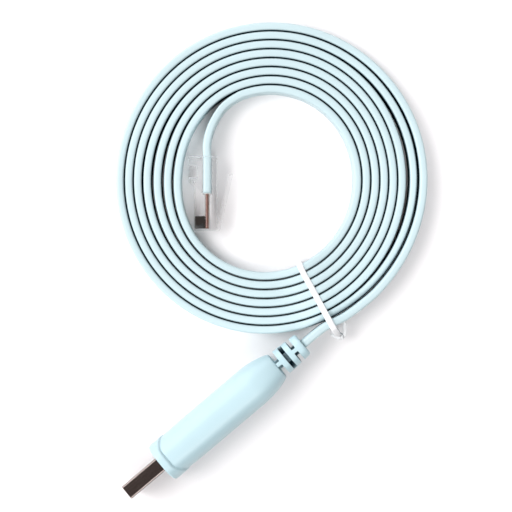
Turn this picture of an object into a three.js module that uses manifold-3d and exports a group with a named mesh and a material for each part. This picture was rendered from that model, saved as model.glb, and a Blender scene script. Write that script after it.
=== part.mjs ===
// Flat console cable: a USB-A plug in a long moulded housing, a coil of flat eight-core cable standing on
// edge and held by one tie, and a clear RJ45 plug. Millimetres, +Z up. +X runs along the USB plug from its
// mouth towards the cable, and the origin is under the middle of the plug and its housing, on the floor.
import * as THREE from 'three';
import { mergeVertices } from 'three/addons/utils/BufferGeometryUtils.js';
import Module from 'manifold-3d';

const wasm = await Module();
wasm.setup();

// Clearances
const gap = 0.3; // between pieces that touch
const bladeGap = 0.15; // on each side of a contact blade in its slot
const overcut = 1; // how far a cutting shape runs past the face that it cuts

// USB plug, along its axis from the mouth
const plug = {
  length: 66.1, // mouth to the end of the strain relief
  collarFront: 12.9,
  roll: 4, // degrees, how far its top leans towards +Y
  seamMiddle: 15.5, // where the seam crosses the middle of the narrow side
  seamSweep: 2.4, // how much further back it runs at the edges
  seamFlat: 2.4, // half the width of its straight middle
  seamPower: 1.8, // how late it sweeps back
  shoulder: 46.5, // where the housing starts to narrow
  housingEnd: 56.4,
};
const shell = { width: 12, thickness: 4.5, wall: 0.3, buried: 6.5, corner: 0.6 };
const latchHole = { long: 2.5, high: 2, back: 5.2, apart: 5.2 };
const tongue = { width: 11.1, thickness: 1.9, recess: 0.5, cavity: 11.3, chamfer: 0.4 };
const contact = {
  width: 1,
  thickness: 0.3,
  lift: 0.1,
  start: 1.6,
  setBack: 1, // how much further back the middle two start
  end: 11,
  places: [-3.5, -1, 1, 3.5],
};
const collar = { width: 12.4, height: 16.6, edge: 0.5 };
const housing = {
  frontWidth: 11.7,
  width: 12.2,
  frontHeight: 16.2,
  height: 16.5,
  belly: 26, // full width and height from here
  straight: 38.5, // to here
  tailPower: 0.8, // how full the narrowing end is
};
const relief = { width: 8.2, endWidth: 7.4, height: 11.2, endHeight: 10.4, edge: 0.5 };
const slot = { width: 1.2, pitch: 2.95, first: 0.55, rows: 3, web: 1.2, sideWeb: 3 };
const squareness = 2.8; // 2 is an ellipse, and more is squarer

// Flat cable
const cable = { width: 7, thickness: 2.3, corner: 0.7 };

// The coil, seen from above. Angles in degrees are turned clockwise from the coil's own zero line, and grow
// with the radius of the winding.
const coil = {
  x: 56.03,
  y: 42.97,
  turned: -40.22, // from the row's +X to the coil's zero line
  startRadius: 24.12, // middle of the cable at angle 0
  pitch: 2.61,
  oval: 0.63,
  ovalAt: 76.7,
  start: 252,
  end: 2820,
  step: 12,
};
const groove = { width: 0.35, depth: 0.8, overrun: 3 };
// On one side the turns are pushed inwards, most at the bore and least at the rim
const dent = { depth: 1.15, at: 185, spread: 38, from: 445, to: 1945 };
// On the other side the outer turns are loose and stand off
const bulge = { depth: 0.94, at: 354, spread: 42, from: 2033, to: 2533 };

// The outer lead keeps to the winding as far as this angle, and climbs from the floor as it goes
const follow = { end: 2928, riseFrom: 2832, height: 6.5 };
// From there its points are x, y and the height of the cable's middle above the coil's
const outerLead = [[47.4, -1.75, 3.4], [41.3, -0.25, 4.25], [37.1, 0, 4.65]];
// The inner lead, from the coil to the rear of the RJ45 plug, in the same way
const innerLead = [[60.5, 67.75, 0.15], [56.1, 66.6, 0.7], [52.1, 64.6, 1.5], [48.9, 62, 2.28]];

// RJ45 plug, along its axis from the rear face
const modular = {
  x: 45.95,
  y: 60.3,
  turned: -130.22, // the way its front points
  length: 21.45,
  width: 11.68,
  rearThickness: 8.1,
  frontThickness: 6.45,
  step: 7.4, // where the rear block ends
  ramp: 1.3, // how long the slope down to the front block is
  jacketAt: 1.3, // side offset of the cable
  jacketEnd: 10.6,
};
const blade = {
  count: 8,
  pitch: 1.02,
  thickness: 0.35,
  from: 17.4,
  crown: 2.5, // length of the edge that meets the socket
  length: 3.3, // with the prong at its wire
  shoulder: 1.4, // depth of the crown
  depth: 2.75,
  prong: 0.45,
  recess: 0.35,
};
const wire = { diameter: 0.9, end: 20.8, sides: 8, room: 0.25 };
const wedge = { from: 2.6, length: 3.4, width: 6.4, depth: 2.4 };
const latch = {
  thickness: 1,
  rise: 4.6, // how far its tip stands off the body
  reach: 16.4, // from the front back to the tip
  frontWidth: 6.2,
  tipWidth: 3.25,
  narrowAt: 7.5,
};

// Twist tie
const tie = {
  at: 65.5, // coil angle of its twist, less whole turns
  lean: 3.8, // degrees that its run is turned away from the coil's middle
  width: 1.9,
  thickness: 0.6,
  low: 0.15, // height of its underside
  bulge: 3.3, // how far it stands off the outer lead, at the twist
  tails: [[3.9, 1.7, 2], [-1.5, 1.5, 0.6]], // where each free end goes from the twist
  tailWidth: 1.1,
};

// Worked out from the sizes above
const mouthX = -plug.length / 2;
const at = (station) => mouthX + station;
const rad = THREE.MathUtils.degToRad;
const lowest = (points, roll) => Math.min(...points.map(([y, z]) => z * Math.cos(roll) - y * Math.sin(roll)));
const axisZ = -lowest(ovalRing(collar.width, collar.height), rad(plug.roll));

const paint = {
  cable: new THREE.MeshStandardMaterial({ color: '#c4ecf4', roughness: 0.5 }),
  housing: new THREE.MeshStandardMaterial({ color: '#c2ecef', roughness: 0.45 }),
  steel: new THREE.MeshStandardMaterial({ color: '#8f8b88', roughness: 0.3, metalness: 1 }),
  gold: new THREE.MeshStandardMaterial({ color: '#d8a850', roughness: 0.3, metalness: 1 }),
  insulator: new THREE.MeshStandardMaterial({ color: '#f2f2ee', roughness: 0.5 }),
  clear: new THREE.MeshStandardMaterial({
    color: '#f4f7f8', roughness: 0.1, transparent: true, opacity: 0.35,
  }),
  wire: new THREE.MeshStandardMaterial({ color: '#8a4a30', roughness: 0.5 }),
  tie: new THREE.MeshStandardMaterial({ color: '#f7f7f7', roughness: 0.5 }),
};

// Geometry with merged corners becomes a solid that can be cut and joined
function toSolid(geometry) {
  const bare = geometry.clone();
  bare.deleteAttribute('normal');
  bare.deleteAttribute('uv');
  const merged = mergeVertices(bare, 1e-5);
  return new wasm.Manifold(new wasm.Mesh({
    numProp: 3,
    vertProperties: new Float32Array(merged.attributes.position.array),
    triVerts: new Uint32Array(merged.index.array),
  }));
}

function toGeometry(solid) {
  const mesh = solid.getMesh();
  const geometry = new THREE.BufferGeometry();
  geometry.setAttribute('position', new THREE.BufferAttribute(new Float32Array(mesh.vertProperties), 3));
  geometry.setIndex(new THREE.BufferAttribute(new Uint32Array(mesh.triVerts), 1));
  geometry.computeVertexNormals();
  return geometry;
}

function block(x0, x1, y0, y1, z0, z1) {
  const geometry = new THREE.BoxGeometry(x1 - x0, y1 - y0, z1 - z0);
  return geometry.translate((x0 + x1) / 2, (y0 + y1) / 2, (z0 + z1) / 2);
}

function blockSolid(...sides) {
  return toSolid(block(...sides));
}

// A plan outline, raised from z0 to z1
function raised(points, z0, z1, hole) {
  const shape = new THREE.Shape(points.map(([x, y]) => new THREE.Vector2(x, y)));
  if (hole) shape.holes.push(new THREE.Path(hole.map(([x, y]) => new THREE.Vector2(x, y))));
  const geometry = new THREE.ExtrudeGeometry(shape, { depth: z1 - z0, bevelEnabled: false });
  return geometry.translate(0, 0, z0);
}

// A rectangle with rounded corners, centred
function roundedRectangle(width, height, radius, cornerSteps = 3) {
  const points = [];
  for (const [sx, sy, from] of [[1, 1, 0], [-1, 1, 90], [-1, -1, 180], [1, -1, 270]]) {
    for (let i = 0; i <= cornerSteps; i += 1) {
      const a = rad(from + (90 * i) / cornerSteps);
      points.push([
        sx * (width / 2 - radius) + radius * Math.cos(a),
        sy * (height / 2 - radius) + radius * Math.sin(a),
      ]);
    }
  }
  return points;
}

// A section in Y and Z, run along X from x0 to x1
function runAlongX(section, x0, x1, hole) {
  const turn = new THREE.Matrix4().makeBasis(
    new THREE.Vector3(0, 1, 0),
    new THREE.Vector3(0, 0, 1),
    new THREE.Vector3(1, 0, 0),
  );
  return raised(section, x0, x1, hole).applyMatrix4(turn);
}

// Points round a full oval
function ovalRing(width, height, sides = 32) {
  const bend = (value) => Math.sign(value) * Math.abs(value) ** (2 / squareness);
  return Array.from({ length: sides }, (_, i) => {
    const a = (2 * Math.PI * i) / sides;
    return [(width / 2) * bend(Math.cos(a)), (height / 2) * bend(Math.sin(a))];
  });
}

// A closed skin through oval rings that stand across X. Each ring is x, width and height.
function loft(rings) {
  const positions = [];
  const index = [];
  for (const [x, width, height] of rings) {
    for (const point of ovalRing(width, height)) positions.push(x, ...point);
  }
  const sides = positions.length / 3 / rings.length;
  for (let r = 0; r + 1 < rings.length; r += 1) {
    for (let i = 0; i < sides; i += 1) {
      const a = r * sides + i;
      const b = r * sides + ((i + 1) % sides);
      index.push(a, b, a + sides, b, b + sides, a + sides);
    }
  }
  for (const [ring, flip] of [[0, true], [rings.length - 1, false]]) {
    const centre = positions.length / 3;
    positions.push(rings[ring][0], 0, 0);
    for (let i = 0; i < sides; i += 1) {
      const a = ring * sides + i;
      const b = ring * sides + ((i + 1) % sides);
      index.push(centre, flip ? b : a, flip ? a : b);
    }
  }
  const geometry = new THREE.BufferGeometry();
  geometry.setAttribute('position', new THREE.Float32BufferAttribute(positions, 3));
  geometry.setIndex(index);
  return geometry;
}

function part(name, geometry, material) {
  const mesh = new THREE.Mesh(geometry, material);
  mesh.name = name;
  return mesh;
}

// The USB plug

function usbShell() {
  const outer = roundedRectangle(shell.thickness, shell.width, shell.corner);
  const inner = roundedRectangle(
    shell.thickness - 2 * shell.wall,
    shell.width - 2 * shell.wall,
    shell.corner - shell.wall,
  );
  const back = plug.collarFront + shell.buried;
  let solid = toSolid(runAlongX(outer, at(0), at(back), inner));
  for (const side of [-1, 1]) {
    const middle = (side * latchHole.apart) / 2;
    const x = at(latchHole.back);
    solid = solid.subtract(blockSolid(
      x - latchHole.long / 2, x + latchHole.long / 2,
      -shell.thickness, shell.thickness,
      middle - latchHole.high / 2, middle + latchHole.high / 2,
    ));
  }
  return toGeometry(solid);
}

// The tongue lies along one broad side, and the block behind it fills the shell
const innerHalf = shell.thickness / 2 - shell.wall - gap / 2;
const tongueFace = -innerHalf + tongue.thickness;

function usbTongue() {
  const back = plug.collarFront + shell.buried - gap;
  const half = tongue.width / 2;
  const outline = [
    [at(tongue.recess), -innerHalf],
    [at(back), -innerHalf],
    [at(back), innerHalf],
    [at(tongue.cavity), innerHalf],
    [at(tongue.cavity), tongueFace],
    [at(tongue.recess) + tongue.chamfer, tongueFace],
    [at(tongue.recess), tongueFace - tongue.chamfer],
  ];
  return raised(outline, -half, half);
}

function usbContact(index) {
  const outer = index === 0 || index === contact.places.length - 1;
  const z = contact.places[index];
  const start = contact.start + (outer ? 0 : contact.setBack);
  const low = tongueFace + contact.lift;
  return block(
    at(start), at(contact.end),
    low, low + contact.thickness,
    z - contact.width / 2, z + contact.width / 2,
  );
}

// The seam between collar and housing in plan: straight in the middle and swept back at both edges
function seamOutline(shift) {
  const reach = collar.width;
  const steps = 8; // on each side
  const curve = [];
  for (let i = -steps; i <= steps; i += 1) {
    const y = (i / steps) * (collar.width / 2 + gap);
    const sweep = Math.max(0, (Math.abs(y) - plug.seamFlat) / (collar.width / 2 - plug.seamFlat));
    curve.push([at(plug.seamMiddle) + plug.seamSweep * sweep ** plug.seamPower + shift, y]);
  }
  const back = at(plug.housingEnd) + overcut;
  return [...curve, [back, reach], [back, -reach]];
}

function shellPassage() {
  return toSolid(runAlongX(
    roundedRectangle(shell.thickness + 2 * gap, shell.width + 2 * gap, shell.corner + gap),
    at(plug.collarFront) - overcut,
    at(plug.collarFront + shell.buried) + gap,
  ));
}

function usbCollar() {
  const front = at(plug.collarFront);
  const back = at(plug.seamMiddle + plug.seamSweep) + gap;
  const trim = 2 * collar.edge;
  const body = toSolid(loft([
    [front, collar.width - trim, collar.height - trim],
    [front + collar.edge, collar.width, collar.height],
    [back, collar.width, collar.height],
  ]));
  const cut = toSolid(raised(seamOutline(-gap / 2), -collar.height, collar.height));
  return toGeometry(body.subtract(cut).subtract(shellPassage()));
}

function usbHousing() {
  const front = plug.seamMiddle - gap;
  const rings = [
    [at(front), housing.frontWidth, housing.frontHeight],
    [at(housing.belly), housing.width, housing.height],
    [at(housing.straight), housing.width, housing.height],
  ];
  const steps = 7;
  for (let i = 0; i <= steps; i += 1) {
    const u = i / steps;
    const full = (1 - u * u) ** housing.tailPower;
    rings.push([
      at(plug.shoulder + u * (plug.housingEnd - plug.shoulder)),
      relief.width + (housing.width - relief.width) * full,
      relief.height + (housing.height - relief.height) * full,
    ]);
  }
  const body = toSolid(loft(rings));
  const keep = toSolid(raised(seamOutline(gap / 2), -collar.height, collar.height));
  return toGeometry(body.intersect(keep).subtract(shellPassage()));
}

// Slots run across the strain relief in turn from the sides and from top and bottom, down to a core
function strainRelief() {
  const front = at(plug.housingEnd) + gap;
  const back = at(plug.length);
  let solid = toSolid(loft([
    [front, relief.width, relief.height],
    [back - relief.edge, relief.endWidth, relief.endHeight],
    [back, relief.endWidth - 2 * relief.edge, relief.endHeight - 2 * relief.edge],
  ]));
  const core = toSolid(block(
    front - overcut, back + overcut,
    -cable.thickness / 2 - gap, cable.thickness / 2 + gap,
    -cable.width / 2 - gap, cable.width / 2 + gap,
  ));
  for (let row = 0; row < slot.rows; row += 1) {
    const x = front + slot.first + row * slot.pitch;
    const fromSides = row % 2 === 0;
    const ring = blockSolid(
      x - slot.width / 2, x + slot.width / 2,
      -relief.width, relief.width, -relief.height, relief.height,
    );
    const web = fromSides
      ? blockSolid(x - slot.width, x + slot.width, -slot.web / 2, slot.web / 2, -relief.height, relief.height)
      : blockSolid(x - slot.width, x + slot.width, -relief.width, relief.width,
        -slot.sideWeb / 2, slot.sideWeb / 2);
    solid = solid.subtract(ring.subtract(web).subtract(core));
  }
  return toGeometry(solid);
}

// The cable

function coilRadius(angle) {
  const { smoothstep, euclideanModulo } = THREE.MathUtils;
  const swell = coil.oval * Math.cos(rad(2 * (angle + coil.ovalAt)));
  const near = (place) => {
    const off = euclideanModulo(angle - place.at + 180, 360) - 180;
    return place.depth * Math.exp(-((off / place.spread) ** 2));
  };
  const inward = near(dent) * (1 - smoothstep(angle, dent.from, dent.to));
  const outward = near(bulge) * smoothstep(angle, bulge.from, bulge.to);
  return coil.startRadius + (coil.pitch * angle) / 360 + swell - inward + outward;
}

function coilPoint(angle, offset = 0) {
  const radius = coilRadius(angle) + offset;
  const a = rad(coil.turned - angle);
  return [coil.x + radius * Math.cos(a), coil.y + radius * Math.sin(a)];
}

// Points of the winding from one angle to another
function coilRun(from, to, offset) {
  const count = Math.max(1, Math.round(Math.abs(to - from) / coil.step));
  return Array.from({ length: count + 1 }, (_, i) => coilPoint(from + ((to - from) * i) / count, offset));
}

// The whole coil as one solid: spiral edges inside and outside, and the gap between turns cut into both ends
function cableCoil() {
  const half = cable.thickness / 2;
  const outside = coilRun(coil.end - 360, coil.end, half);
  const inside = coilRun(coil.start, coil.start + 360, -half);
  const bore = toSolid(raised(inside, -overcut, cable.width + overcut));
  const body = toSolid(raised(outside, 0, cable.width)).subtract(bore);
  const last = coil.end - 360;
  const strip = [
    ...coilRun(coil.start - groove.overrun, last + groove.overrun, (coil.pitch + groove.width) / 2),
    ...coilRun(last + groove.overrun, coil.start - groove.overrun, (coil.pitch - groove.width) / 2),
  ];
  const top = toSolid(raised(strip, cable.width - groove.depth, cable.width + overcut));
  const bottom = toSolid(raised(strip, -overcut, groove.depth));
  return toGeometry(body.subtract(top).subtract(bottom).subtract(tieNotch()));
}

// A section, run along a path
function swept(section, path, steps) {
  const shape = new THREE.Shape(section.map(([x, y]) => new THREE.Vector2(x, y)));
  return new THREE.ExtrudeGeometry(shape, { steps, extrudePath: path, bevelEnabled: false });
}

// A flat cable on edge through the given points, with one upright section at each point
function cableAlong(points) {
  const path = new THREE.CatmullRomCurve3(points.map(([x, y, z]) => new THREE.Vector3(x, y, z)));
  path.getPointAt = (u, target) => path.getPoint(u, target);
  path.getTangentAt = (u, target) => path.getTangent(u, target);
  path.computeFrenetFrames = (segments) => {
    const up = new THREE.Vector3(0, 0, 1);
    const tangents = Array.from({ length: segments + 1 }, (_, i) => path.getTangent(i / segments));
    const binormals = tangents.map((tangent) => tangent.clone().cross(up).normalize());
    const normals = binormals.map((binormal, i) => binormal.clone().cross(tangents[i]));
    return { tangents, normals, binormals };
  };
  const section = roundedRectangle(cable.width, cable.thickness, cable.corner, 2);
  return swept(section, path, points.length - 1);
}

// Degrees of the winding that make one clearance
function gapAngle(angle) {
  return THREE.MathUtils.radToDeg(gap / coilRadius(angle));
}

function cableLeadUsb() {
  const middle = cable.width / 2;
  const points = [[...coilPoint(coil.end + gapAngle(coil.end)), middle]];
  for (let angle = coil.end + coil.step; angle <= follow.end; angle += coil.step) {
    const climb = THREE.MathUtils.smoothstep(angle, follow.riseFrom - coil.step, follow.end + 2 * coil.step);
    points.push([...coilPoint(angle), middle + climb * (follow.height - middle)]);
  }
  for (const [x, y, up] of outerLead) points.push([x, y, middle + up]);
  points.push([at(plug.length) + gap, 0, axisZ]);
  return cableAlong(points);
}

function cableLeadRj45() {
  const middle = cable.width / 2;
  const points = [[...coilPoint(coil.start - gapAngle(coil.start), -gap), middle]];
  for (const [x, y, up] of innerLead) points.push([x, y, middle + up]);
  for (const along of [0, modular.jacketEnd / 2, modular.jacketEnd]) {
    points.push([...modularPoint(along, modular.jacketAt), modular.width / 2]);
  }
  return cableAlong(points);
}

// The RJ45 plug. Its own frame has X towards its front and Y towards its latch.

function modularPoint(along, across) {
  const a = rad(modular.turned);
  return [
    modular.x + along * Math.cos(a) - across * Math.sin(a),
    modular.y + along * Math.sin(a) + across * Math.cos(a),
  ];
}

const backFace = -modular.rearThickness / 2;
const latchFace = modular.rearThickness / 2;
const contactFace = latchFace - modular.frontThickness;

function modularLatch() {
  const front = modular.length;
  const tip = front - latch.reach;
  const outer = latchFace + latch.rise;
  const root = 2 * latch.thickness;
  const arm = toSolid(raised([
    [front, latchFace - gap],
    [front, latchFace + latch.thickness / 2],
    [front - latch.thickness / 2, latchFace + latch.thickness],
    [tip, outer],
    [tip, outer - latch.thickness],
    [front - root, latchFace + gap],
    [front - root - gap, latchFace - gap],
  ], -latch.frontWidth / 2, latch.frontWidth / 2));
  const sides = [-1, 1].map((side) => {
    const edges = [side * (latch.tipWidth / 2), side * latch.frontWidth].sort((a, b) => a - b);
    return blockSolid(tip - overcut, front - latch.narrowAt, latchFace, outer + overcut, ...edges);
  });
  return arm.subtract(sides[0]).subtract(sides[1]);
}

function rj45Body() {
  const half = modular.width / 2;
  const outline = [
    [0, backFace],
    [modular.step, backFace],
    [modular.step + modular.ramp, contactFace],
    [modular.length, contactFace],
    [modular.length, latchFace],
    [0, latchFace],
  ];
  const jacketRoom = blockSolid(
    -overcut, modular.jacketEnd + gap,
    modular.jacketAt - cable.thickness / 2 - gap, modular.jacketAt + cable.thickness / 2 + gap,
    -cable.width / 2 - gap, cable.width / 2 + gap,
  );
  const wireHalf = wire.diameter / 2 + wire.room;
  const rowHalf = ((blade.count - 1) * blade.pitch) / 2 + wireHalf;
  const wireRoom = blockSolid(
    modular.jacketEnd, wire.end + gap,
    modular.jacketAt - wireHalf, modular.jacketAt + wireHalf,
    -rowHalf, rowHalf,
  );
  const wedgeRoom = blockSolid(
    wedge.from, wedge.from + wedge.length,
    backFace - overcut, backFace + wedge.depth,
    -wedge.width / 2, wedge.width / 2,
  );
  let solid = toSolid(raised(outline, -half, half)).add(modularLatch());
  solid = solid.subtract(jacketRoom).subtract(wireRoom).subtract(wedgeRoom);
  for (let i = 0; i < blade.count; i += 1) {
    const z = bladeHeight(i);
    solid = solid.subtract(blockSolid(
      blade.from - bladeGap, blade.from + blade.length + bladeGap,
      contactFace - overcut, modular.jacketAt,
      z - blade.thickness / 2 - bladeGap, z + blade.thickness / 2 + bladeGap,
    ));
  }
  return toGeometry(solid);
}

function bladeHeight(index) {
  return (index - (blade.count - 1) / 2) * blade.pitch;
}

// A contact blade: a crown towards the socket, a round notch, and a prong along its wire
function rj45Contact(index) {
  const z = bladeHeight(index);
  const top = contactFace + blade.recess;
  const foot = top + blade.depth;
  const crown = blade.from + blade.crown;
  const tip = blade.from + blade.length;
  const radius = (blade.depth - blade.shoulder - blade.prong) / 2;
  const notch = Array.from({ length: 5 }, (_, i) => {
    const a = rad(-90 - 45 * i);
    return [crown + radius * Math.cos(a), foot - blade.prong - radius + radius * Math.sin(a)];
  });
  return raised([
    [blade.from, top],
    [crown, top],
    ...notch,
    [tip, foot - blade.prong],
    [tip, foot],
    [blade.from, foot],
  ], z - blade.thickness / 2, z + blade.thickness / 2);
}

function rj45Wire(index) {
  const start = modular.jacketEnd + gap;
  const length = wire.end - start;
  const geometry = new THREE.CylinderGeometry(wire.diameter / 2, wire.diameter / 2, length, wire.sides);
  geometry.rotateZ(Math.PI / 2);
  return geometry.translate(start + length / 2, modular.jacketAt, bladeHeight(index));
}

// The tie. Its loop stands in one upright plane, through its twist.

const innerTurn = tie.at + tie.lean + 360;
const outerTurn = tie.at + 8 * 360;
const twistRadius = coilRadius(outerTurn) + cable.thickness / 2 + gap + tie.bulge;

// Where the plane crosses a circle round the coil's middle, as x in that plane
function tieAlong(radius) {
  const lean = rad(tie.lean);
  return twistRadius * (1 - Math.cos(lean)) + Math.sqrt(radius ** 2 - (twistRadius * Math.sin(lean)) ** 2);
}

const tieInside = tieAlong(coilRadius(innerTurn) - cable.thickness / 2);

// From that plane to the row: x outwards, twistRadius at the twist, and y up
function tieFrame() {
  const radial = rad(coil.turned - tie.at);
  const run = radial + rad(tie.lean);
  const x = coil.x + twistRadius * (Math.cos(radial) - Math.cos(run));
  const y = coil.y + twistRadius * (Math.sin(radial) - Math.sin(run));
  return new THREE.Matrix4()
    .makeTranslation(x, y, 0)
    .multiply(new THREE.Matrix4().makeRotationZ(run))
    .multiply(new THREE.Matrix4().makeRotationX(Math.PI / 2));
}

function tieNotch() {
  const side = tie.width / 2 + gap;
  const top = tie.low + tie.thickness + gap;
  const outline = [[0, -overcut], [twistRadius, -overcut], [twistRadius, top], [0, top]];
  return toSolid(raised(outline, -side, side).applyMatrix4(tieFrame()));
}

function twistTie() {
  const t = tie.thickness;
  const leadTop = cable.width + outerLead[1][2] + gap;
  const inner = tieInside - gap;
  const outer = twistRadius - tie.bulge;
  const leadInside = outer - cable.thickness - 3 * gap;
  const twistHeight = cable.width / 2 + outerLead[0][2] / 2;
  const outside = [
    [inner - t, tie.low],
    [outer, tie.low],
    [twistRadius, twistHeight - t],
    [twistRadius, twistHeight + t],
    [outer + t, leadTop + t],
    [leadInside, leadTop + t],
    [inner - t, cable.width + gap + t],
  ];
  const hole = [
    [inner, tie.low + t],
    [outer - t, tie.low + t],
    [twistRadius - t, twistHeight - t],
    [twistRadius - t, twistHeight + t],
    [outer, leadTop],
    [leadInside, leadTop],
    [inner, cable.width + gap],
  ];
  const half = tie.width / 2;
  let solid = toSolid(raised(outside, -half, half, hole).applyMatrix4(tieFrame()));
  const twist = new THREE.Vector3(twistRadius - t / 2, twistHeight, 0).applyMatrix4(tieFrame());
  for (const [x, y, up] of tie.tails) {
    const end = twist.clone().add(new THREE.Vector3(x, y, up));
    const section = roundedRectangle(tie.tailWidth, t, t / 3, 1);
    solid = solid.add(toSolid(swept(section, new THREE.LineCurve3(twist, end), 1)));
  }
  return toGeometry(solid);
}

const usbPlug = new THREE.Group();
usbPlug.position.z = axisZ;
usbPlug.rotation.x = -rad(plug.roll);
usbPlug.add(
  part('usb_shell', usbShell(), paint.steel),
  part('usb_tongue', usbTongue(), paint.insulator),
  part('usb_collar', usbCollar(), paint.housing),
  part('usb_housing', usbHousing(), paint.housing),
  part('strain_relief', strainRelief(), paint.housing),
);
contact.places.forEach((_, i) => usbPlug.add(part(`usb_contact_${i + 1}`, usbContact(i), paint.gold)));

const rj45Plug = new THREE.Group();
rj45Plug.position.set(modular.x, modular.y, modular.width / 2);
rj45Plug.rotation.z = rad(modular.turned);
rj45Plug.add(part('rj45_body', rj45Body(), paint.clear));
for (let i = 0; i < blade.count; i += 1) {
  rj45Plug.add(part(`rj45_contact_${i + 1}`, rj45Contact(i), paint.gold));
  rj45Plug.add(part(`rj45_wire_${i + 1}`, rj45Wire(i), paint.wire));
}

const consoleCable = new THREE.Group();
consoleCable.add(
  usbPlug,
  part('cable_lead_usb', cableLeadUsb(), paint.cable),
  part('cable_coil', cableCoil(), paint.cable),
  part('cable_lead_rj45', cableLeadRj45(), paint.cable),
  rj45Plug,
  part('twist_tie', twistTie(), paint.tie),
);

export default consoleCable;
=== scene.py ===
"""Looks of a flat console cable.

A USB-A plug in a long housing, a tied coil of flat cable on edge, and a clear RJ45 plug.
"""
import math

import bmesh
import bpy
from mathutils import Matrix, Vector


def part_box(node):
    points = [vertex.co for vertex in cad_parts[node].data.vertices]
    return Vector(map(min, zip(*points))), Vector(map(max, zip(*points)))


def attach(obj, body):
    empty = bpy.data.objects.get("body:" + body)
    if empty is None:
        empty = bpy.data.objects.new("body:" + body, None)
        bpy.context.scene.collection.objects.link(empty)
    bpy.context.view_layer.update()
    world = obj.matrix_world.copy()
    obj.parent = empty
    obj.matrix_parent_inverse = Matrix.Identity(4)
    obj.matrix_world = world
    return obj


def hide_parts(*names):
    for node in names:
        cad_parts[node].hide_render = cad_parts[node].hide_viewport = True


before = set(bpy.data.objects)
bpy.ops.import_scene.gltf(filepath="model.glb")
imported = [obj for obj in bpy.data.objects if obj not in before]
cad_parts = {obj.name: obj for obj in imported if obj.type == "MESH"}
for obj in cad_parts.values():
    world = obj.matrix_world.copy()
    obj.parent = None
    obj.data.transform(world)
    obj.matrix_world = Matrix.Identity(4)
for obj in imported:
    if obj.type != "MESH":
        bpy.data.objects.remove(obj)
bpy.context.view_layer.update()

MM = 0.001

# The photograph's view: straight down, turned so that this direction of the row points up in the picture
IMAGE_UP = 49.78
VIEW_CENTRE = (39.15 * MM, 28.3 * MM)
VIEW_WIDTH = 512 / 3.44 * MM
VIEW_PLANE = 8 * MM
CAMERA_HEIGHT = 440 * MM
SENSOR_WIDTH = 36
FLOOR_HALF = 1.5

# Light. Azimuths in degrees turn from the picture's up towards its left, and leans are from straight up.
KEYS = [
    {"azimuth": 200, "lean": 30, "spread": 30, "strength": 1.3},
    {"azimuth": 82, "lean": 32, "spread": 30, "strength": 1.2},
]
ROOM_STRENGTH = 2.0
ROOM_BRIGHT_SIDE = 60
ROOM_FADE = 0.7
ROOM_TINT = (1.0, 0.96, 0.975)
DARK_AZIMUTH = 90
DARK_LEAN = 6
DARK_INSIDE, DARK_OUTSIDE = 17, 23
DARK_COLOUR = (0.06, 0.045, 0.04)

# Colours and surfaces
FLOOR_COLOUR = (0.87, 0.86, 0.865)
HOUSING_COLOUR = (0.41, 0.57, 0.615)
JACKET_COLOUR = (0.46, 0.592, 0.62)
# The plated steel is coloured far darker than the metal is: painted dark reflection, added to the real
# reflection of the dark patch overhead.
STEEL_PAINTED_DARK_COLOUR = (0.24, 0.205, 0.195)
GOLD_COLOUR = (0.6, 0.4, 0.2)
# The RJ45 blades are gold plating coloured nearly black: painted dark reflection, added to the real
# reflection of the dark patch overhead.
BLADE_PAINTED_DARK_COLOUR = (0.1, 0.065, 0.035)
INSULATOR_COLOUR = (0.6, 0.6, 0.58)
TIE_COLOUR = (0.69, 0.71, 0.72)
CLEAR_COLOUR = (0.93, 0.95, 0.96)
WIRE_COLOURS = [
    (0.4, 0.41, 0.43), (0.6, 0.2, 0.03), (0.02, 0.02, 0.02), (0.5, 0.03, 0.03),
    (0.03, 0.25, 0.07), (0.6, 0.5, 0.05), (0.03, 0.1, 0.42), (0.13, 0.045, 0.028),
]
FLECK = 0.03
GRAIN = 900
GLOSS_SPREAD = 0.05
DRAWN_LINES = (300, 2500, 2500)
CLEAR_FACE = 0.01
CLEAR_VEIL_FROM = 0.42

# Painted gap shade: the colour painted into narrow gaps, the shares of open space round a surface that count
# as closed and as open, how far round is looked, and the shine kept where it is open
PAINTED_GAP_SHADE_COLOUR = (0.0, 0.016, 0.03)
PAINTED_SHADE_CLOSED, PAINTED_SHADE_OPEN = 0.3, 0.85
PAINTED_SHADE_REACH = 2.5 * MM
OPEN_SHINE = 0.5

# Flat cable
CABLE_WIDTH = 7 * MM
CABLE_THICKNESS = 2.3 * MM
CABLE_CORNER = 0.7 * MM
CABLE_STEP = 1.3 * MM

# The coil. Angles in degrees turn clockwise from its own zero line and grow with the radius.
COIL_X = 56.03 * MM
COIL_Y = 42.97 * MM
COIL_TURNED = -40.22
COIL_START_RADIUS = 24.12 * MM
COIL_PITCH = 2.61 * MM
COIL_OVAL = 0.63 * MM
COIL_OVAL_AT = 76.7
COIL_START = 252
COIL_END = 2820
COIL_STEP = 4
DENT = {"depth": -1.15 * MM, "at": 185, "spread": 38, "from": 1945, "to": 445}
BULGE = {"depth": 0.94 * MM, "at": 354, "spread": 42, "from": 2154, "to": 2659}

# Leads, in metres, as x, y and the height of the cable's middle above the coil's. The outer lead keeps to the
# winding up to FOLLOW_END degrees, and climbs as it goes.
FOLLOW_END = 2928
FOLLOW_RISE_FROM, FOLLOW_RISE_TO = 2820, 2952
FOLLOW_RISE = 3 * MM
OUTER_LEAD = [(0.0474, -0.00175, 0.0034), (0.0413, -0.00025, 0.00425), (0.0371, 0.0, 0.00465)]
INNER_LEAD = [
    (0.0605, 0.06775, 0.00015), (0.0561, 0.0666, 0.0007), (0.0521, 0.0646, 0.0015), (0.0489, 0.062, 0.00228),
]

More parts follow.
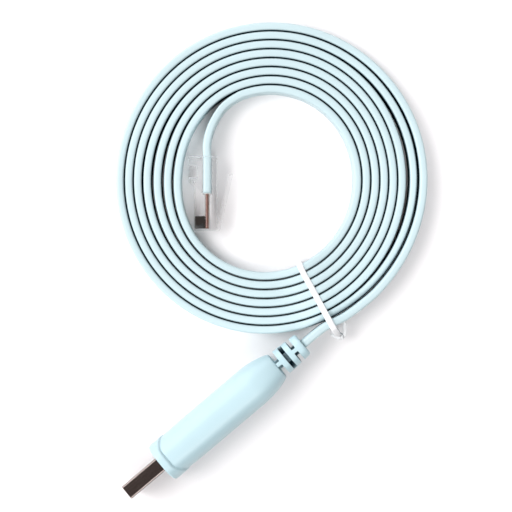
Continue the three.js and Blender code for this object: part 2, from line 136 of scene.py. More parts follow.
# USB plug, by distance from its mouth
PLUG_LENGTH = 66.1 * MM
PLUG_ROLL = 4
COLLAR_FRONT = 12.9 * MM
SEAM_MIDDLE = 15.5 * MM
SEAM_SWEEP = 2.4 * MM
SEAM_FLAT = 2.4 * MM
SEAM_POWER = 1.8
SEAM_GAP = 0.05 * MM
SHOULDER = 46.5 * MM
HOUSING_END = 56.4 * MM
TAIL_POWER = 0.8
SHELL_WIDTH = 12 * MM
SHELL_THICKNESS = 4.5 * MM
SHELL_WALL = 0.3 * MM
SHELL_BURIED = 6.5 * MM
SHELL_CORNER = 0.5 * MM
SHELL_SEAM, SHELL_SEAM_DEPTH = 0.12 * MM, 0.14 * MM
MOUTH_STEPS = 6
WINDOW_AT, WINDOW_APART = 5.2 * MM, 5.2 * MM
WINDOW_LENGTH, WINDOW_HEIGHT = 2.5 * MM, 2 * MM
COLLAR_WIDTH, COLLAR_HEIGHT = 12.4 * MM, 16.6 * MM
HOUSING_FRONT_WIDTH, HOUSING_FRONT_HEIGHT = 11.7 * MM, 16.2 * MM
HOUSING_WIDTH, HOUSING_HEIGHT = 12.2 * MM, 16.5 * MM
BELLY = 26 * MM
RELIEF_WIDTH, RELIEF_END_WIDTH = 8.2 * MM, 7.4 * MM
RELIEF_HEIGHT, RELIEF_END_HEIGHT = 11.2 * MM, 10.4 * MM
RELIEF_JOINT = 0.02 * MM
RELIEF_GRID = 0.12 * MM
SLOT_WIDTH, SLOT_PITCH, SLOT_FIRST, SLOT_ROWS = 1.2 * MM, 2.95 * MM, 0.55 * MM, 3
SLOT_WEB, SLOT_SIDE_WEB = 1.2 * MM, 3 * MM
SQUARENESS, PASSAGE_SQUARENESS = 2.8, 9
RING_SIDES = 128
GAP = 0.3 * MM
MOUTH_X = -PLUG_LENGTH / 2
AXIS_Z = (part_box("usb_collar")[0][2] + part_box("usb_collar")[1][2]) / 2

# RJ45 plug, by distance from its rear face
MODULAR_X, MODULAR_Y, MODULAR_TURNED = 45.95 * MM, 60.3 * MM, -130.22
MODULAR_WIDTH = 11.68 * MM
JACKET_AT = 1.3 * MM
JACKET_END = 10.6 * MM

# The tie: where it crosses the coil in the coil's degrees, the way its run points, and its way round from one
# free end to the other, in millimetres
TIE_AT = 67.5
TIE_WIDTH, TIE_TAIL_WIDTH = 1.75 * MM, 1.1 * MM
TIE_THICKNESS = 0.55 * MM
TIE_LOW = 0.16 * MM
TIE_STEP = 0.35 * MM
TIE_CLEARANCE = 0.04 * MM
TIE_LIFT_SPREAD = 6 * MM
TIE_TIP_SHARE = 0.35
TIE_ROUNDING = 0.42
TIE_RUN = -101.92
TIE_TAIL_A = [(41.07, -3.2, 7.2), (41.65, -4.5, 6.7), (42.5, -5.75, 6.4)]
TIE_TAIL_B = [(43.7, -6.0, 6.6), (44.9, -4.9, 7.2), (45.8, -3.75, 7.9), (46.65, -2.6, 8.7)]
TIE_OVER = [
    (42.62, -4.5, 8.5), (42.6, -3.5, 10.3), (42.72, -2.4, 11.4), (42.95, -1.1, 11.55), (43.3, 0.7, 11.45),
    (43.7, 2.5, 9.7), (44.12, 4.4, 8.2), (44.75, 7.2, 7.92), (45.3, 9.8, 7.9), (45.85, 12.6, 7.9),
    (46.35, 15.2, 7.92), (46.95, 17.4, 7.9), (47.4, 18.65, 7.4), (47.55, 19.0, 6.1), (47.55, 19.0, 3.5),
    (47.5, 18.85, 1.5), (47.3, 18.35, 0.7), (46.95, 17.0, 0.48), (46.4, 14.6, 0.47), (45.0, 7.8, 0.47),
    (43.6, 0.6, 0.47), (43.25, -1.2, 0.6), (43.0, -2.6, 1.4), (42.85, -3.9, 3.6), (42.8, -4.6, 5.4),
]
TWIST_FROM, TWIST_TO = (42.65, -4.85, 7.2), (43.1, -5.9, 6.7)
TWIST_RADIUS = 0.45


def smoothstep(value, low, high):
    t = min(1, max(0, (value - low) / (high - low)))
    return t * t * (3 - 2 * t)


def push(place, angle):
    """How far a turn is pushed out at an angle, or in where the depth is negative."""
    off = (angle - place["at"] + 180) % 360 - 180
    grown = smoothstep(angle, place["from"], place["to"])
    return place["depth"] * math.exp(-((off / place["spread"]) ** 2)) * grown


def coil_radius(angle):
    swell = COIL_OVAL * math.cos(math.radians(2 * (angle + COIL_OVAL_AT)))
    return COIL_START_RADIUS + COIL_PITCH * angle / 360 + swell + push(DENT, angle) + push(BULGE, angle)


def coil_point(angle):
    """A point of the winding, seen from above."""
    radius = coil_radius(angle)
    turned = math.radians(COIL_TURNED - angle)
    return COIL_X + radius * math.cos(turned), COIL_Y + radius * math.sin(turned)


def modular_matrix():
    """From the RJ45 plug's own frame, X to its front and Y to its latch, to the row."""
    turn = Matrix.Rotation(math.radians(MODULAR_TURNED), 4, "Z")
    return Matrix.Translation((MODULAR_X, MODULAR_Y, MODULAR_WIDTH / 2)) @ turn


def over_tie(angle):
    """How far a turn of the coil is lifted where it crosses the tie's lower run."""
    off = (angle - TIE_AT + 180) % 360 - 180
    along = math.radians(off) * coil_radius(angle)
    return (TIE_LOW + TIE_THICKNESS + TIE_CLEARANCE) * math.exp(-((along / TIE_LIFT_SPREAD) ** 2))


def cable_route():
    """The cable's middle line, from the strain relief round the coil and into the RJ45 plug."""
    middle = CABLE_WIDTH / 2
    points = [(MOUTH_X + PLUG_LENGTH, 0, AXIS_Z)]
    points += [(x, y, middle + up) for x, y, up in reversed(OUTER_LEAD)]
    angle = FOLLOW_END
    while angle >= COIL_START:
        climb = FOLLOW_RISE * smoothstep(angle, FOLLOW_RISE_FROM, FOLLOW_RISE_TO)
        lift = over_tie(angle) if angle < COIL_END else 0
        points.append((*coil_point(angle), middle + climb + lift))
        angle -= COIL_STEP
    points += [(x, y, middle + up) for x, y, up in INNER_LEAD]
    plug = modular_matrix()
    points += [tuple(plug @ Vector((along, JACKET_AT, 0))) for along in (0, JACKET_END / 2, JACKET_END)]
    return refine([Vector(p) for p in points], CABLE_STEP)


def refine(points, longest):
    """Points on a smooth curve through the given ones, no further apart than longest."""
    ends = [points[0] * 2 - points[1], *points, points[-1] * 2 - points[-2]]
    out = []
    for i in range(1, len(ends) - 2):
        a, b, c, d = ends[i - 1 : i + 3]
        count = max(1, math.ceil((c - b).length / longest))
        t1 = (b - a).length ** 0.5
        t2 = t1 + (c - b).length ** 0.5
        t3 = t2 + (d - c).length ** 0.5
        for k in range(count):
            t = t1 + (t2 - t1) * k / count
            ab = a.lerp(b, t / t1)
            bc = b.lerp(c, (t - t1) / (t2 - t1))
            cd = c.lerp(d, (t - t2) / (t3 - t2))
            abc = ab.lerp(bc, t / t2)
            bcd = bc.lerp(cd, (t - t1) / (t3 - t1))
            out.append(abc.lerp(bcd, (t - t1) / (t2 - t1)))
    return [*out, points[-1].copy()]


def path_length(points):
    return sum((b - a).length for a, b in zip(points, points[1:]))


def rounded_rectangle(width, height, radius, steps=5):
    """Corner points of a rectangle with rounded corners, anticlockwise, centred."""
    points = []
    for sx, sy, start in ((1, 1, 0), (-1, 1, 90), (-1, -1, 180), (1, -1, 270)):
        for i in range(steps + 1):
            a = math.radians(start + 90 * i / steps)
            points.append((
                sx * (width / 2 - radius) + radius * math.cos(a),
                sy * (height / 2 - radius) + radius * math.sin(a),
            ))
    return points


def make_object(name, verts, faces, smooth=True):
    mesh = bpy.data.meshes.new(name)
    mesh.from_pydata([tuple(v) for v in verts], [], faces)
    mesh.validate()
    tidy_normals(mesh)
    mesh.polygons.foreach_set("use_smooth", [smooth] * len(mesh.polygons))
    obj = bpy.data.objects.new(name, mesh)
    bpy.context.scene.collection.objects.link(obj)
    return obj


def tidy_normals(mesh):
    bm = bmesh.new()
    bm.from_mesh(mesh)
    bmesh.ops.recalc_face_normals(bm, faces=bm.faces)
    bm.to_mesh(mesh)
    bm.free()


def rings_to_faces(ring_count, sides, closed=False):
    """Faces of a skin through equal rings.

    A closed skin joins its last ring to its first, and an open one gets a cap on both ends.
    """
    faces = []
    for r in range(ring_count if closed else ring_count - 1):
        for i in range(sides):
            a = r * sides + i
            b = r * sides + (i + 1) % sides
            c = (r + 1) % ring_count * sides
            faces.append((a, b, c + (i + 1) % sides, c + i))
    if not closed:
        last = (ring_count - 1) * sides
        faces += [tuple(reversed(range(sides))), tuple(range(last, last + sides))]
    return faces


def directions(points):
    """The way that a path runs at each of its points."""
    count = len(points)
    return [(points[min(count - 1, i + 1)] - points[max(0, i - 1)]).normalized() for i in range(count)]


def upright_sides(points):
    return [along.cross(Vector((0, 0, 1))).normalized() for along in directions(points)]


def carried_sides(points, start, side):
    """Sides that turn no more than the path does, from a given side at the point numbered start."""
    along = directions(points)
    sides = [None] * len(points)
    for order in (range(start, len(points)), range(start, -1, -1)):
        current = side
        for i in order:
            current = (current - along[i] * current.dot(along[i])).normalized()
            sides[i] = current
    return sides


def sweep(name, points, sides, section_at):
    """A closed tube along a path. The section's x runs along the path's upper side and its y to the side."""
    verts = []
    for i, (point, along, side) in enumerate(zip(points, directions(points), sides)):
        lift = side.cross(along)
        verts += [point + lift * x + side * y for x, y in section_at(i)]
    return make_object(name, verts, rings_to_faces(len(points), len(section_at(0))))


# Materials


def nodes_of(material):
    material.use_nodes = True
    tree = material.node_tree
    return tree, tree.nodes["Principled BSDF"]


def add(tree, kind, **values):
    node = tree.nodes.new(kind)
    for key, value in values.items():
        if key in node.inputs:
            node.inputs[key].default_value = value
        else:
            setattr(node, key, value)
    return node


def plastic(name, colour, roughness, bump=0.01, mottle=60, paints_gap_shade=False):
    """A moulded plastic: slightly uneven colour and gloss, a very fine grain, and, where asked, painted shade
    in its narrow gaps.
    """
    material = bpy.data.materials.new(name)
    tree, shader = nodes_of(material)
    place = add(tree, "ShaderNodeTexCoord")
    wide = add(tree, "ShaderNodeTexNoise", Scale=mottle, Detail=3.0)
    fine = add(tree, "ShaderNodeTexNoise", Scale=GRAIN, Detail=4.0)
    tree.links.new(place.outputs["Object"], wide.inputs["Vector"])
    tree.links.new(place.outputs["Object"], fine.inputs["Vector"])
    tint = add(tree, "ShaderNodeValToRGB")
    tint.color_ramp.elements[0].color = (*[c * (1 - FLECK) for c in colour], 1)
    tint.color_ramp.elements[1].color = (*[min(1, c * (1 + FLECK)) for c in colour], 1)
    tint.color_ramp.elements[0].position = 0.3
    tint.color_ramp.elements[1].position = 0.7
    tree.links.new(wide.outputs["Fac"], tint.inputs["Fac"])
    tree.links.new(tint.outputs["Color"], shader.inputs["Base Color"])
    if paints_gap_shade:
        paint_gap_shade(tree, tint.outputs["Color"], shader)
    gloss = add(tree, "ShaderNodeMapRange")
    gloss.inputs["To Min"].default_value = roughness - GLOSS_SPREAD
    gloss.inputs["To Max"].default_value = roughness + GLOSS_SPREAD
    tree.links.new(fine.outputs["Fac"], gloss.inputs["Value"])
    tree.links.new(gloss.outputs["Result"], shader.inputs["Roughness"])
    relief = add(tree, "ShaderNodeBump", Strength=0.25, Distance=bump * MM)
    tree.links.new(fine.outputs["Fac"], relief.inputs["Height"])
    tree.links.new(relief.outputs["Normal"], shader.inputs["Normal"])
    return material


def paint_gap_shade(tree, colour, shader):
    """Paints shade: takes the colour and the shine down where other surfaces of the same piece stand close.
    """
    open_share = add(tree, "ShaderNodeAmbientOcclusion", samples=8, only_local=True)
    open_share.inputs["Distance"].default_value = PAINTED_SHADE_REACH
    lit = add(tree, "ShaderNodeMapRange")
    lit.inputs["From Min"].default_value = PAINTED_SHADE_CLOSED
    lit.inputs["From Max"].default_value = PAINTED_SHADE_OPEN
    tree.links.new(open_share.outputs["AO"], lit.inputs["Value"])
    mix = add(tree, "ShaderNodeMix", data_type="RGBA")
    mix.inputs["A"].default_value = (*PAINTED_GAP_SHADE_COLOUR, 1)
    tree.links.new(lit.outputs["Result"], mix.inputs["Factor"])
    tree.links.new(colour, mix.inputs["B"])
    tree.links.new(mix.outputs["Result"], shader.inputs["Base Color"])
    shine = add(tree, "ShaderNodeMath", operation="MULTIPLY")
    shine.inputs[1].default_value = OPEN_SHINE
    tree.links.new(lit.outputs["Result"], shine.inputs[0])
    tree.links.new(shine.outputs["Value"], shader.inputs["Specular IOR Level"])


def metal(name, colour, roughness, scratch=0.06):
    """Plated metal with fine drawing lines along the plug."""
    material = bpy.data.materials.new(name)
    tree, shader = nodes_of(material)
    shader.inputs["Base Color"].default_value = (*colour, 1)
    shader.inputs["Metallic"].default_value = 1
    place = add(tree, "ShaderNodeTexCoord")
    stretch = add(tree, "ShaderNodeMapping")
    stretch.inputs["Scale"].default_value = DRAWN_LINES
    tree.links.new(place.outputs["Object"], stretch.inputs["Vector"])
    lines = add(tree, "ShaderNodeTexNoise", Scale=1.0, Detail=5.0)
    tree.links.new(stretch.outputs["Vector"], lines.inputs["Vector"])
    gloss = add(tree, "ShaderNodeMapRange")
    gloss.inputs["To Min"].default_value = roughness
    gloss.inputs["To Max"].default_value = roughness + scratch
    tree.links.new(lines.outputs["Fac"], gloss.inputs["Value"])
    tree.links.new(gloss.outputs["Result"], shader.inputs["Roughness"])
    return material


def clear_plastic(name):
    """Clear plastic: nearly invisible where it is looked through, and bright where seen along its walls."""
    material = bpy.data.materials.new(name)
    tree, shader = nodes_of(material)
    shader.inputs["Base Color"].default_value = (*CLEAR_COLOUR, 1)
    shader.inputs["Roughness"].default_value = 0.08
    shader.inputs["IOR"].default_value = 1.52
    place = add(tree, "ShaderNodeTexCoord")
    flow = add(tree, "ShaderNodeTexNoise", Scale=250.0, Detail=2.0)
    tree.links.new(place.outputs["Object"], flow.inputs["Vector"])
    relief = add(tree, "ShaderNodeBump", Strength=0.15, Distance=0.02 * MM)
    tree.links.new(flow.outputs["Fac"], relief.inputs["Height"])
    tree.links.new(relief.outputs["Normal"], shader.inputs["Normal"])
    grazing = add(tree, "ShaderNodeLayerWeight", Blend=0.5)
    veil = add(tree, "ShaderNodeMapRange")
    veil.inputs["From Min"].default_value = CLEAR_VEIL_FROM
    veil.inputs["To Min"].default_value = CLEAR_FACE
    tree.links.new(grazing.outputs["Facing"], veil.inputs["Value"])
    tree.links.new(veil.outputs["Result"], shader.inputs["Alpha"])
    return material


# The jacket and the strain relief get painted shade in their gaps and slots.
JACKET = plastic("cable_jacket", JACKET_COLOUR, 0.42, mottle=40, paints_gap_shade=True)
HOUSING = plastic("housing_plastic", HOUSING_COLOUR, 0.4, bump=0.02)
RELIEF = plastic("relief_plastic", HOUSING_COLOUR, 0.4, bump=0.02, paints_gap_shade=True)
# The steel's colour carries painted dark reflection.
STEEL_PAINTED_DARK = metal("plated_steel", STEEL_PAINTED_DARK_COLOUR, 0.12)
GOLD = metal("gold_plating", GOLD_COLOUR, 0.08)
# The blades' colour carries painted dark reflection.
BLADE_PAINTED_DARK = metal("blade_plating_painted_dark", BLADE_PAINTED_DARK_COLOUR, 0.06, scratch=0.04)
INSULATOR = plastic("white_insulator", INSULATOR_COLOUR, 0.4)
TIE_WHITE = plastic("tie_plastic", TIE_COLOUR, 0.35)
CLEAR = clear_plastic("clear_plastic")


def dress(obj, material, slot, *replaced):
    """Gives a new piece its material and its body, and hides the CAD nodes that it replaces. The slot is not
    used.
    """
    obj.data.materials.clear()
    obj.data.materials.append(material)
    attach(obj, "root")
    if replaced:
        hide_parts(*replaced)
    return obj


def finish_node(name, material, bevel=0.0):
    """A CAD node that keeps its shape: a material, and edges that catch the light."""
    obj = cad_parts[name]
    obj.data.materials.clear()
    obj.data.materials.append(material)
    if bevel:
        soften = obj.modifiers.new("soft_edges", "BEVEL")
        soften.width = bevel
        soften.segments = 2
        soften.limit_method = "ANGLE"
    return obj


# Cable

route = cable_route()
cable_section = rounded_rectangle(CABLE_WIDTH, CABLE_THICKNESS, CABLE_CORNER)
cable = sweep("flat_cable", route, upright_sides(route), lambda i: cable_section)
dress(cable, JACKET, "cable_jacket", "cable_lead_usb", "cable_coil", "cable_lead_rj45")


# USB plug. Its pieces are made round their own axis, and seated at the end.


def at(station):
    """The x of a distance from the plug's mouth."""
    return MOUTH_X + station


def oval_ring(width, height, power=SQUARENESS):
    points = []
    for i in range(RING_SIDES):
        a = 2 * math.pi * i / RING_SIDES
        c, s = math.cos(a), math.sin(a)
        points.append((
            width / 2 * math.copysign(abs(c) ** (2 / power), c),
            height / 2 * math.copysign(abs(s) ** (2 / power), s),
        ))
    return points


def passage_ring():
    """The shell's way through collar and housing, with as many points as their outside."""
    return oval_ring(SHELL_THICKNESS + 2 * GAP, SHELL_WIDTH + 2 * GAP, PASSAGE_SQUARENESS)


def seam_at(y):
    reach = COLLAR_WIDTH / 2 - SEAM_FLAT
    return at(SEAM_MIDDLE) + SEAM_SWEEP * max(0, (abs(y) - SEAM_FLAT) / reach) ** SEAM_POWER


def shift(points, x):
    return [(x, y, z) for y, z in points]


def quarter(steps):
    """Pairs of sine and cosine over a quarter turn."""
    return [(math.sin(math.pi / 2 * i / steps), math.cos(math.pi / 2 * i / steps)) for i in range(steps + 1)]


def skin(name, rows, closed=False):
    """A skin through rows of points round the plug's axis."""
    points = [point for row in rows for point in row]
    return make_object(name, points, rings_to_faces(len(rows), RING_SIDES, closed))


def seated(obj):
    """Turns a piece about the plug's axis by its roll, and lifts it to its height."""
    obj.data.transform(Matrix.Translation((0, 0, AXIS_Z)) @ Matrix.Rotation(-math.radians(PLUG_ROLL), 4, "X"))
    return obj


def make_collar():
    """Front collar: a tube round the shell whose back edge follows the seam."""
    lip = 0.5 * MM
    back_lip = 0.26 * MM
    face_inset = 1.6 * MM
    front = at(COLLAR_FRONT)

    def outside(inset):
        return oval_ring(COLLAR_WIDTH - 2 * inset, COLLAR_HEIGHT - 2 * inset)

    inner = passage_ring()
    full = outside(0)
    back = [seam_at(y) - SEAM_GAP / 2 for y, z in full]
    rows = [shift(inner, front), shift(outside(face_inset), front)]
    rows += [shift(outside(lip * (1 - s)), front + lip * (1 - c)) for s, c in quarter(6)]
    for share in (0.35, 0.7):
        rows.append([
            (front + lip + share * (x - back_lip - front - lip), y, z) for x, (y, z) in zip(back, full)
        ])
    for s, c in quarter(5):
        edge = outside(back_lip * s)
        rows.append([(x - back_lip * c, y, z) for x, (y, z) in zip(back, edge)])
    rows.append([(x, y, z) for x, (y, z) in zip(back, inner)])
    return skin("usb_collar_skin", rows, closed=True)


def housing_size(station):
    """Width and height of the housing's outside at a distance from the mouth."""
    if station < SHOULDER:
        grow = math.sin(math.pi / 2 * min(1, max(0, (station - SEAM_MIDDLE) / (BELLY - SEAM_MIDDLE))))
        width = HOUSING_FRONT_WIDTH + (HOUSING_WIDTH - HOUSING_FRONT_WIDTH) * grow
        height = HOUSING_FRONT_HEIGHT + (HOUSING_HEIGHT - HOUSING_FRONT_HEIGHT) * grow
        return width, height
    u = min(1, (station - SHOULDER) / (HOUSING_END - SHOULDER))
    full = (1 - u * u) ** TAIL_POWER
    return (
        RELIEF_WIDTH + (HOUSING_WIDTH - RELIEF_WIDTH) * full,
        RELIEF_HEIGHT + (HOUSING_HEIGHT - RELIEF_HEIGHT) * full,
    )


def make_housing():
    """The long housing, from its seam edge to the strain relief, with a pocket for the shell."""
    lip = 0.28 * MM
    end_lip = 0.35 * MM
    unit = oval_ring(2, 2)

    def outside(x, y_unit, z_unit, inset=0):
        width, height = housing_size(x - MOUTH_X)
        return x, y_unit * (width / 2 - inset), z_unit * (height / 2 - inset)

    front = [seam_at(y * HOUSING_FRONT_WIDTH / 2) + SEAM_GAP / 2 for y, z in unit]
    pocket = passage_ring()
    deep = at(COLLAR_FRONT + SHELL_BURIED) + GAP
    rows = [shift(pocket, deep), [(x, y, z) for x, (y, z) in zip(front, pocket)]]
    for s, c in quarter(5):
        rows.append([outside(x + lip * (1 - c), y, z, lip * (1 - s)) for x, (y, z) in zip(front, unit)])
    straight_from = 24 * MM
    for share in (0.08, 0.2, 0.4, 0.7, 1):
        rows.append([
            outside(x + lip + share * (at(straight_from) - x - lip), y, z) for x, (y, z) in zip(front, unit)
        ])
    station = straight_from
    while station < SHOULDER:
        station += 2 * MM
        rows.append([outside(at(min(station, SHOULDER)), y, z) for y, z in unit])
    last = HOUSING_END - end_lip
    for s, c in quarter(24)[1:]:
        rows.append([outside(at(SHOULDER + (last - SHOULDER) * s), y, z) for y, z in unit])
    for s, c in quarter(4)[1:]:
        rows.append([outside(at(last + end_lip * s), y, z, end_lip * (1 - c)) for y, z in unit])
    return skin("usb_housing_skin", rows)


def apply_modifiers(obj):
    """The mesh as its modifiers leave it, in place of the mesh and the modifiers."""
    evaluated = obj.evaluated_get(bpy.context.evaluated_depsgraph_get())
    mesh = bpy.data.meshes.new_from_object(evaluated)
    obj.modifiers.clear()
    obj.data = mesh
    return obj


def block(x0, x1, y0, y1, z0, z1):
    verts = [(x, y, z) for x in (x0, x1) for y in (y0, y1) for z in (z0, z1)]
    faces = [(0, 1, 3, 2), (4, 6, 7, 5), (0, 4, 5, 1), (2, 3, 7, 6), (0, 2, 6, 4), (1, 5, 7, 3)]
    return make_object("cutter", verts, faces, smooth=False)


def carve(obj, cutters):
    """Cuts the cutters out of obj and removes them."""
    for cutter in cutters:
        step = obj.modifiers.new("carve", "BOOLEAN")
        step.operation = "DIFFERENCE"
        step.solver = "EXACT"
        step.object = cutter
        apply_modifiers(obj)
        bpy.data.objects.remove(cutter)
    return obj


def smooth_by_angle(obj, angle=35):
    obj.data.polygons.foreach_set("use_smooth", [True] * len(obj.data.polygons))
    obj.data.set_sharp_from_angle(angle=math.radians(angle))
    return obj


def relief_slots():
    """Blocks that leave rings, webs and a core: rows 1 and 3 open to the sides, row 2 to top and bottom."""
    core_y = CABLE_THICKNESS / 2 + GAP
    core_z = CABLE_WIDTH / 2 + GAP
    far_y, far_z = RELIEF_WIDTH, RELIEF_HEIGHT
    cutters = []
    for row in range(SLOT_ROWS):
        x = at(HOUSING_END) + GAP + SLOT_FIRST + row * SLOT_PITCH
        x0, x1 = x - SLOT_WIDTH / 2, x + SLOT_WIDTH / 2
        if row == 0:
            x0 -= GAP
        for side in (-1, 1):
            if row % 2 == 0:
                web = SLOT_WEB / 2
                cutters.append((x0, x1, *sorted((side * core_y, side * far_y)), -far_z, far_z))
                for end in (-1, 1):
                    across = sorted((side * web, side * far_y))
                    cutters.append((x0, x1, *across, *sorted((end * core_z, end * far_z))))
            else:
                web = SLOT_SIDE_WEB / 2
                cutters.append((x0, x1, -far_y, far_y, *sorted((side * core_z, side * far_z))))
                for end in (-1, 1):
                    upward = sorted((side * web, side * far_z))
                    cutters.append((x0, x1, *sorted((end * core_y, end * far_y)), *upward))
    return [block(*sides) for sides in cutters]


def make_relief():
    """The strain relief, with soft edges on its rings and slots."""
    front = at(HOUSING_END) + RELIEF_JOINT
    back = at(PLUG_LENGTH)
    end_lip = 0.9 * MM
    end_pull = 0.63 * MM
    rows = [shift(oval_ring(RELIEF_WIDTH, RELIEF_HEIGHT), front)]
    for s, c in quarter(6):
        inset = end_pull * (1 - c)
        ring = oval_ring(RELIEF_END_WIDTH - 2 * inset, RELIEF_END_HEIGHT - 2 * inset)
        rows.append(shift(ring, back - end_lip * (1 - s)))
    relief = carve(skin("strain_relief_skin", rows), relief_slots())
    melt = relief.modifiers.new("melt", "REMESH")
    melt.mode = "VOXEL"
    melt.voxel_size = RELIEF_GRID
    ease = relief.modifiers.new("ease", "SMOOTH")
    ease.factor = 0.5
    ease.iterations = 5
    apply_modifiers(relief)
    relief.data.polygons.foreach_set("use_smooth", [True] * len(relief.data.polygons))
    return relief


def make_shell():
    """The folded metal shell: a rolled mouth, two windows on each broad side and a seam where it closes."""
    back = at(COLLAR_FRONT + SHELL_BURIED)

    def outline(inset):
        corner = max(0.1 * MM, SHELL_CORNER - inset)
        return rounded_rectangle(SHELL_THICKNESS - 2 * inset, SHELL_WIDTH - 2 * inset, corner, steps=8)

    rows = []
    half_wall = SHELL_WALL / 2
    for i in range(MOUTH_STEPS + 1):
        a = math.pi * i / MOUTH_STEPS
        rows.append(shift(outline(half_wall * (1 + math.cos(a))), at(0) + half_wall * (1 - math.sin(a))))
    rows += [shift(outline(0), back), shift(outline(SHELL_WALL), back)]
    verts = [point for row in rows for point in row]
    shell = make_object("usb_shell_skin", verts, rings_to_faces(len(rows), len(rows[0]), closed=True))
    cutters = []
    for side in (-1, 1):
        z0, z1 = side * WINDOW_APART / 2 - WINDOW_HEIGHT / 2, side * WINDOW_APART / 2 + WINDOW_HEIGHT / 2
        x0, x1 = at(WINDOW_AT) - WINDOW_LENGTH / 2, at(WINDOW_AT) + WINDOW_LENGTH / 2
        cutters.append(block(x0, x1, -SHELL_THICKNESS, SHELL_THICKNESS, z0, z1))
    seam = SHELL_SEAM / 2
    face = -SHELL_THICKNESS / 2
    cutters.append(block(at(0) - seam, back + seam, face - seam, face + SHELL_SEAM_DEPTH, -seam, seam))
    carve(shell, cutters)
    smooth_by_angle(shell, 40)
    shell.modifiers.new("even_faces", "WEIGHTED_NORMAL").keep_sharp = True
    return shell


dress(seated(make_collar()), HOUSING, "housing_plastic", "usb_collar")
dress(seated(make_housing()), HOUSING, "housing_plastic", "usb_housing")
dress(seated(make_relief()), RELIEF, "housing_plastic", "strain_relief")
dress(seated(make_shell()), STEEL_PAINTED_DARK, "plated_steel", "usb_shell")
finish_node("usb_tongue", INSULATOR, 0.1 * MM)
for number in range(1, 5):
    finish_node(f"usb_contact_{number}", GOLD, 0.05 * MM)


# RJ45 plug


def prism(name, outline, half):
    """An outline in the RJ45 plug's own plan, the given height above and below its middle."""
    verts = [(x, y, -half) for x, y in outline] + [(x, y, half) for x, y in outline]
    obj = make_object(name, verts, rings_to_faces(2, len(outline)), smooth=False)
    obj.data.transform(modular_matrix())
    return obj


def make_clamp():
    """The bar that is pressed down on the jacket inside the plug."""
    outline = [(7.2, -2.9), (8.0, -2.6), (10.3, -0.35), (9.9, 0.0), (7.3, -2.1)]
    bar = prism("rj45_clamp", [(x * MM, y * MM) for x, y in outline], 3.1 * MM)
    return dress(bar, CLEAR, "clear_plastic")


def make_filler():
    """The pale inside of the jacket, which shows where the wires leave it."""
    inset = 0.25 * MM
    start, end = JACKET_END - 0.2 * MM, JACKET_END + 0.28 * MM
    half = CABLE_THICKNESS / 2 - inset
    low, high = JACKET_AT - half, JACKET_AT + half
    outline = [(start, low), (end, low), (end, high), (start, high)]
    filler = prism("rj45_filler", outline, CABLE_WIDTH / 2 - inset)
    return dress(filler, INSULATOR, "white_insulator")


finish_node("rj45_body", CLEAR, 0.15 * MM)
clamp = make_clamp()
filler = make_filler()
for number, colour in enumerate(WIRE_COLOURS, start=1):
    finish_node(f"rj45_contact_{number}", BLADE_PAINTED_DARK, 0.04 * MM)
    finish_node(f"rj45_wire_{number}", plastic(f"wire_{number}", colour, 0.25))


# The tie


def twist(start_turn):
    """One strand's way once round the other, from the coil outwards."""
    low, high = Vector(TWIST_FROM), Vector(TWIST_TO)
    along = (high - low).normalized()
    side = along.cross(Vector((0, 0, 1))).normalized()
    lift = side.cross(along)
    points = []
    steps = 12
    for i in range(steps + 1):
        a = 2 * math.pi * (start_turn + i / steps)
        points.append(low.lerp(high, i / steps) + (side * math.cos(a) + lift * math.sin(a)) * TWIST_RADIUS)
    return points


def make_tie():
    """One white strip: a free end, the twist, round the coil and its lead, the twist again, a free end."""
    points = [Vector(p) for p in TIE_TAIL_A]
    points += reversed(twist(0.25))
    first = len(points)
    points += [Vector(p) for p in TIE_OVER]
    last = len(points)
    points += twist(0.75)
    points += [Vector(p) for p in TIE_TAIL_B]
    lengths = [0.0]
    for a, b in zip(points, points[1:]):
        lengths.append(lengths[-1] + (b - a).length)
    loop_from, loop_to, whole = lengths[first], lengths[last - 1], lengths[-1]
    path = refine([p * MM for p in points], TIE_STEP)
    scale = whole * MM / path_length(path)
    run = math.radians(TIE_RUN)
    normal = Vector((-math.sin(run), math.cos(run), 0))
    gone = 0.0
    sections = []
    shares = []
    for i, point in enumerate(path):
        gone += (point - path[max(0, i - 1)]).length * scale / MM
        widened = smoothstep(gone, loop_from - 1, loop_from + 1.5)
        full = widened * (1 - smoothstep(gone, loop_to - 1.5, loop_to + 1))
        width = TIE_TAIL_WIDTH + (TIE_WIDTH - TIE_TAIL_WIDTH) * full
        behind_tip = smoothstep(min(gone, whole - gone), -0.3, 1.2)
        width *= TIE_TIP_SHARE + (1 - TIE_TIP_SHARE) * behind_tip
        thick = TIE_THICKNESS * (1 + behind_tip) / 2
        sections.append(rounded_rectangle(thick, width, thick * TIE_ROUNDING, steps=4))
        shares.append(full)
    on_top = points[first + 8] * MM
    middle = next(i for i, p in enumerate(path) if (p - on_top).length < 0.4 * MM)
    sides = carried_sides(path, middle, normal)
    for i, (along, share) in enumerate(zip(directions(path), shares)):
        level = along.cross(Vector((0, 0, 1))).normalized()
        if level.dot(sides[i]) < 0:
            level = -level
        side = sides[i].lerp(level, 1 - share)
        sides[i] = (side - along * side.dot(along)).normalized()
    tie = sweep("white_tie", path, sides, lambda i: sections[i])
    return dress(tie, TIE_WHITE, "tie_plastic", "twist_tie")


tie = make_tie()


# Studio


def make_floor():
    corners = [(x * FLOOR_HALF, y * FLOOR_HALF, 0) for x, y in ((-1, -1), (1, -1), (1, 1), (-1, 1))]
    floor = make_object("floor", corners, [(0, 1, 2, 3)])
    material = bpy.data.materials.new("floor_white")
    tree, shader = nodes_of(material)
    shader.inputs["Base Color"].default_value = (*FLOOR_COLOUR, 1)
    shader.inputs["Roughness"].default_value = 0.7
    shader.inputs["Specular IOR Level"].default_value = 0.2
    floor.data.materials.append(material)


def overhead(azimuth, lean):
    """A direction by its azimuth in the picture and its lean from straight up."""
    turn = math.radians(IMAGE_UP + azimuth)
    tilt = math.radians(lean)
    return Vector((math.cos(turn) * math.sin(tilt), math.sin(turn) * math.sin(tilt), math.cos(tilt)))


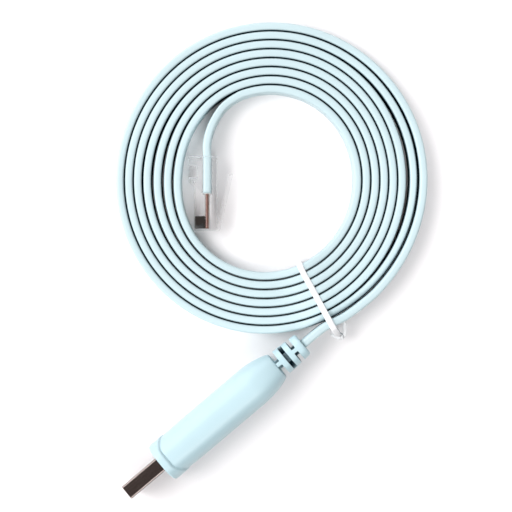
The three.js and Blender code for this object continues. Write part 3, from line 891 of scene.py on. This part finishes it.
def make_lights():
    """Two large soft lights and a white room, bright on the left only, with a dark patch overhead."""
    for number, key in enumerate(KEYS, start=1):
        light = bpy.data.lights.new(f"soft_key_{number}", "SUN")
        light.energy = key["strength"]
        light.angle = math.radians(key["spread"])
        lamp = bpy.data.objects.new(light.name, light)
        bpy.context.scene.collection.objects.link(lamp)
        lamp.rotation_euler = overhead(key["azimuth"], key["lean"]).to_track_quat("Z", "Y").to_euler()
    world = bpy.data.worlds.new("white_room")
    bpy.context.scene.world = world
    world.use_nodes = True
    tree = world.node_tree
    background = tree.nodes["Background"]
    place = add(tree, "ShaderNodeTexCoord")

    def facing(direction):
        node = add(tree, "ShaderNodeVectorMath", operation="DOT_PRODUCT")
        node.inputs[1].default_value = direction
        tree.links.new(place.outputs["Generated"], node.inputs[0])
        return node.outputs["Value"]

    patch = add(tree, "ShaderNodeMapRange", interpolation_type="SMOOTHSTEP")
    patch.inputs["From Min"].default_value = math.cos(math.radians(DARK_OUTSIDE))
    patch.inputs["From Max"].default_value = math.cos(math.radians(DARK_INSIDE))
    tree.links.new(facing(overhead(DARK_AZIMUTH, DARK_LEAN)), patch.inputs["Value"])
    sides = add(tree, "ShaderNodeMapRange")
    sides.inputs["From Min"].default_value = -ROOM_FADE
    sides.inputs["From Max"].default_value = ROOM_FADE
    tree.links.new(facing(overhead(ROOM_BRIGHT_SIDE, 90)), sides.inputs["Value"])
    room = add(tree, "ShaderNodeMix", data_type="RGBA")
    room.inputs["A"].default_value = (0, 0, 0, 1)
    room.inputs["B"].default_value = (*ROOM_TINT, 1)
    tree.links.new(sides.outputs["Result"], room.inputs["Factor"])
    whole = add(tree, "ShaderNodeMix", data_type="RGBA")
    whole.inputs["B"].default_value = (*DARK_COLOUR, 1)
    tree.links.new(patch.outputs["Result"], whole.inputs["Factor"])
    tree.links.new(room.outputs["Result"], whole.inputs["A"])
    tree.links.new(whole.outputs["Result"], background.inputs["Color"])
    background.inputs["Strength"].default_value = ROOM_STRENGTH


def make_camera():
    data = bpy.data.cameras.new("camera")
    camera = bpy.data.objects.new("camera", data)
    bpy.context.scene.collection.objects.link(camera)
    camera.location = (*VIEW_CENTRE, CAMERA_HEIGHT)
    camera.rotation_euler = (0, 0, math.radians(IMAGE_UP - 90))
    data.sensor_width = SENSOR_WIDTH
    data.lens = SENSOR_WIDTH * (CAMERA_HEIGHT - VIEW_PLANE) / VIEW_WIDTH
    data.clip_start = 0.01
    bpy.context.scene.camera = camera
    bpy.context.scene.view_settings.view_transform = "Standard"


make_floor()
make_lights()
make_camera()
